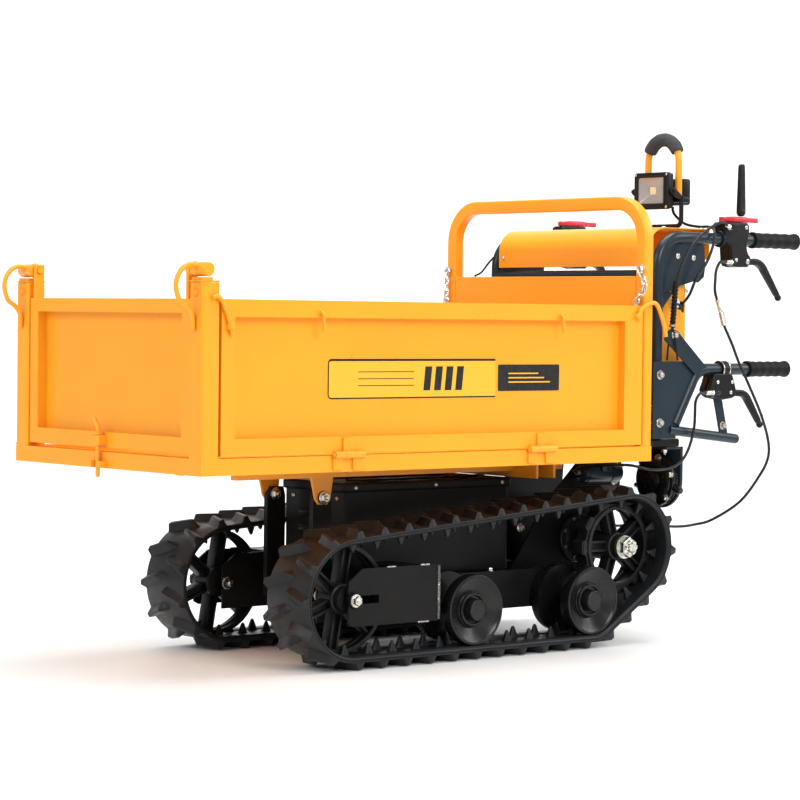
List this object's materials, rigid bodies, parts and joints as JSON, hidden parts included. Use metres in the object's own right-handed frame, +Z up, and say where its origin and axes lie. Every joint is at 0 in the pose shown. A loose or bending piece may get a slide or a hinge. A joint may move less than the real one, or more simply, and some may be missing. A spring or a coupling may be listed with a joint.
{
  "type": "power wheelbarrow",
  "caption": "Electric tracked mini-dumper with a drop-sided tipping load box, guard hoop, walk-behind handles with levers and a work lamp.",
  "frame": {"origin": "on the ground, at the middle of the whole machine's length and width", "axes": "+X forward towards the dropping front gate, +Y to the machine's left, +Z up"},
  "size_m": [1.6845, 0.649, 1.0747],
  "materials": {
    "yellow_paint": "gloss orange-yellow powder coat",
    "black_paint": "satin black paint",
    "anthracite_paint": "satin blue-grey powder coat",
    "rubber": "moulded track rubber",
    "grip_rubber": "soft matt rubber",
    "black_plastic": "fine-grained moulded plastic",
    "cable_sheath": "extruded cable sheath",
    "red_plastic": "smooth red plastic",
    "lamp_glass": "clear lens",
    "zinc": "bright zinc-plated fasteners, chain and axle ends"
  },
  "bodies": {
    "chassis": {"main_frame": "black_paint", "battery_box": "black_paint", "gearbox": "black_paint", "tip_motor": "anthracite_paint", "rear_base": "black_paint", "tensioner_left": "black_paint", "tensioner_right": "black_paint", "track_left": "rubber", "track_right": "rubber", "drive_motor_left": "black_paint", "drive_motor_right": "black_paint", "handle_frame": "anthracite_paint", "lower_handle_left": "anthracite_paint", "lower_handle_right": "anthracite_paint", "upper_grip_left": "grip_rubber", "upper_grip_right": "grip_rubber", "lower_grip_left": "grip_rubber", "lower_grip_right": "grip_rubber", "control_cover": "yellow_paint", "control_housing": "yellow_paint", "lever_housing_left": "black_plastic", "lever_housing_right": "black_plastic", "tip_lever_housing": "black_plastic", "lamp_stand": "black_plastic", "lamp_handle": "yellow_paint", "lamp_foam": "grip_rubber", "cable_drive": "cable_sheath", "cable_steer": "cable_sheath", "cable_tip": "cable_sheath", "cable_lamp": "cable_sheath"},
    "load_box": {"tray_frame": "yellow_paint", "load_floor": "yellow_paint", "tip_subframe": "yellow_paint", "roll_hoop": "yellow_paint", "headboard": "yellow_paint"},
    "front_gate": {"front_gate": "yellow_paint"},
    "front_latch": {"front_latch": "yellow_paint"},
    "pin_handle_left": {"pin_handle_left": "yellow_paint"},
    "pin_handle_right": {"pin_handle_right": "yellow_paint"},
    "side_gate_left": {"side_gate_left": "yellow_paint", "side_latch_left": "yellow_paint"},
    "side_gate_right": {"side_gate_right": "yellow_paint", "side_latch_right": "yellow_paint"},
    "sprocket_left": {"sprocket_left": "black_paint"},
    "sprocket_right": {"sprocket_right": "black_paint"},
    "idler_left": {"idler_left": "black_paint"},
    "idler_right": {"idler_right": "black_paint"},
    "road_wheel_front_left": {"road_wheel_front_left": "black_paint"},
    "road_wheel_front_right": {"road_wheel_front_right": "black_paint"},
    "road_wheel_rear_left": {"road_wheel_rear_left": "black_paint"},
    "road_wheel_rear_right": {"road_wheel_rear_right": "black_paint"},
    "drive_lever": {"drive_lever": "black_plastic"},
    "lever_lock_left": {"lever_lock_left": "red_plastic"},
    "lever_lock_right": {"lever_lock_right": "red_plastic"},
    "hand_lever_left": {"hand_lever_left": "black_plastic"},
    "hand_lever_right": {"hand_lever_right": "black_plastic"},
    "tip_lever": {"tip_lever": "black_plastic"},
    "lamp_head": {"lamp_head": "black_plastic", "lamp_lens": "lamp_glass"}
  },
  "joints": [
    {"name": "box_tip", "type": "hinge", "parent": "chassis", "child": "load_box", "pos_m": [0.34, 0, 0.319], "axis": [0, 1, 0], "range_deg": [0, 42]},
    {"name": "front_gate_swing", "type": "hinge", "parent": "load_box", "child": "front_gate", "pos_m": [0.781, 0, 0.756], "axis": [0, -1, 0], "range_deg": [0, 100]},
    {"name": "front_latch_lift", "type": "slide", "parent": "front_gate", "child": "front_latch", "axis": [0, 0, 1], "range_m": [0, 0.035]},
    {"name": "pin_handle_left_turn", "type": "hinge", "parent": "load_box", "child": "pin_handle_left", "pos_m": [0.781, 0, 0.756], "axis": [0, -1, 0], "range_deg": [0, 90]},
    {"name": "side_gate_left_drop", "type": "hinge", "parent": "load_box", "child": "side_gate_left", "pos_m": [0, 0.3175, 0.4165], "axis": [-1, 0, 0], "range_deg": [0, 90]},
    {"name": "sprocket_left_spin", "type": "hinge", "parent": "chassis", "child": "sprocket_left", "pos_m": [-0.34, 0.202, 0.202], "axis": [0, 1, 0], "continuous": true},
    {"name": "idler_left_spin", "type": "hinge", "parent": "chassis", "child": "idler_left", "pos_m": [0.395, 0.202, 0.134], "axis": [0, 1, 0], "continuous": true},
    {"name": "road_wheel_front_left_spin", "type": "hinge", "parent": "chassis", "child": "road_wheel_front_left", "pos_m": [0.086, 0.202, 0.098], "axis": [0, 1, 0], "continuous": true},
    {"name": "road_wheel_rear_left_spin", "type": "hinge", "parent": "chassis", "child": "road_wheel_rear_left", "pos_m": [-0.233, 0.202, 0.098], "axis": [0, 1, 0], "continuous": true},
    {"name": "hand_lever_left_squeeze", "type": "hinge", "parent": "chassis", "child": "hand_lever_left", "pos_m": [-0.668, 0.25, 0.801], "axis": [0, 1, 0], "range_deg": [0, 25], "stiffness_Nm_per_rad": 0.6, "springref_deg": -14.32},
    {"name": "lever_lock_left_swing", "type": "hinge", "parent": "chassis", "child": "lever_lock_left", "pos_m": [-0.655, 0.25, 0.891], "axis": [0, 0, 1], "range_deg": [-20, 20]},
    {"name": "pin_handle_right_turn", "type": "hinge", "parent": "load_box", "child": "pin_handle_right", "pos_m": [0.781, 0, 0.756], "axis": [0, -1, 0], "range_deg": [0, 90]},
    {"name": "side_gate_right_drop", "type": "hinge", "parent": "load_box", "child": "side_gate_right", "pos_m": [0, -0.3175, 0.4165], "axis": [1, 0, 0], "range_deg": [0, 90]},
    {"name": "sprocket_right_spin", "type": "hinge", "parent": "chassis", "child": "sprocket_right", "pos_m": [-0.34, -0.202, 0.202], "axis": [0, 1, 0], "continuous": true},
    {"name": "idler_right_spin", "type": "hinge", "parent": "chassis", "child": "idler_right", "pos_m": [0.395, -0.202, 0.134], "axis": [0, 1, 0], "continuous": true},
    {"name": "road_wheel_front_right_spin", "type": "hinge", "parent": "chassis", "child": "road_wheel_front_right", "pos_m": [0.086, -0.202, 0.098], "axis": [0, 1, 0], "continuous": true},
    {"name": "road_wheel_rear_right_spin", "type": "hinge", "parent": "chassis", "child": "road_wheel_rear_right", "pos_m": [-0.233, -0.202, 0.098], "axis": [0, 1, 0], "continuous": true},
    {"name": "hand_lever_right_squeeze", "type": "hinge", "parent": "chassis", "child": "hand_lever_right", "pos_m": [-0.668, -0.25, 0.801], "axis": [0, 1, 0], "range_deg": [0, 25], "stiffness_Nm_per_rad": 0.6, "springref_deg": -14.32},
    {"name": "lever_lock_right_swing", "type": "hinge", "parent": "chassis", "child": "lever_lock_right", "pos_m": [-0.655, -0.25, 0.891], "axis": [0, 0, 1], "range_deg": [-20, 20]},
    {"name": "drive_lever_pull", "type": "hinge", "parent": "chassis", "child": "drive_lever", "pos_m": [-0.6655, 0.25, 0.9075], "axis": [0, -1, 0], "range_deg": [0, 70], "stiffness_Nm_per_rad": 0.5, "springref_deg": -17.19},
    {"name": "tip_lever_squeeze", "type": "hinge", "parent": "chassis", "child": "tip_lever", "pos_m": [-0.612, 0.262, 0.522], "axis": [0, 1, 0], "range_deg": [0, 18], "stiffness_Nm_per_rad": 0.6, "springref_deg": -14.32},
    {"name": "lamp_tilt", "type": "hinge", "parent": "chassis", "child": "lamp_head", "pos_m": [-0.521, 0.13, 0.95], "axis": [0, 1, 0], "range_deg": [-12, 20]}
  ],
  "couplings": [
    {"joint": "idler_left_spin", "follows": "sprocket_left_spin", "ratio": 0.947},
    {"joint": "road_wheel_front_left_spin", "follows": "sprocket_left_spin", "ratio": 1.536},
    {"joint": "road_wheel_rear_left_spin", "follows": "sprocket_left_spin", "ratio": 1.536},
    {"joint": "idler_right_spin", "follows": "sprocket_right_spin", "ratio": 0.947},
    {"joint": "road_wheel_front_right_spin", "follows": "sprocket_right_spin", "ratio": 1.536},
    {"joint": "road_wheel_rear_right_spin", "follows": "sprocket_right_spin", "ratio": 1.536}
  ]
}
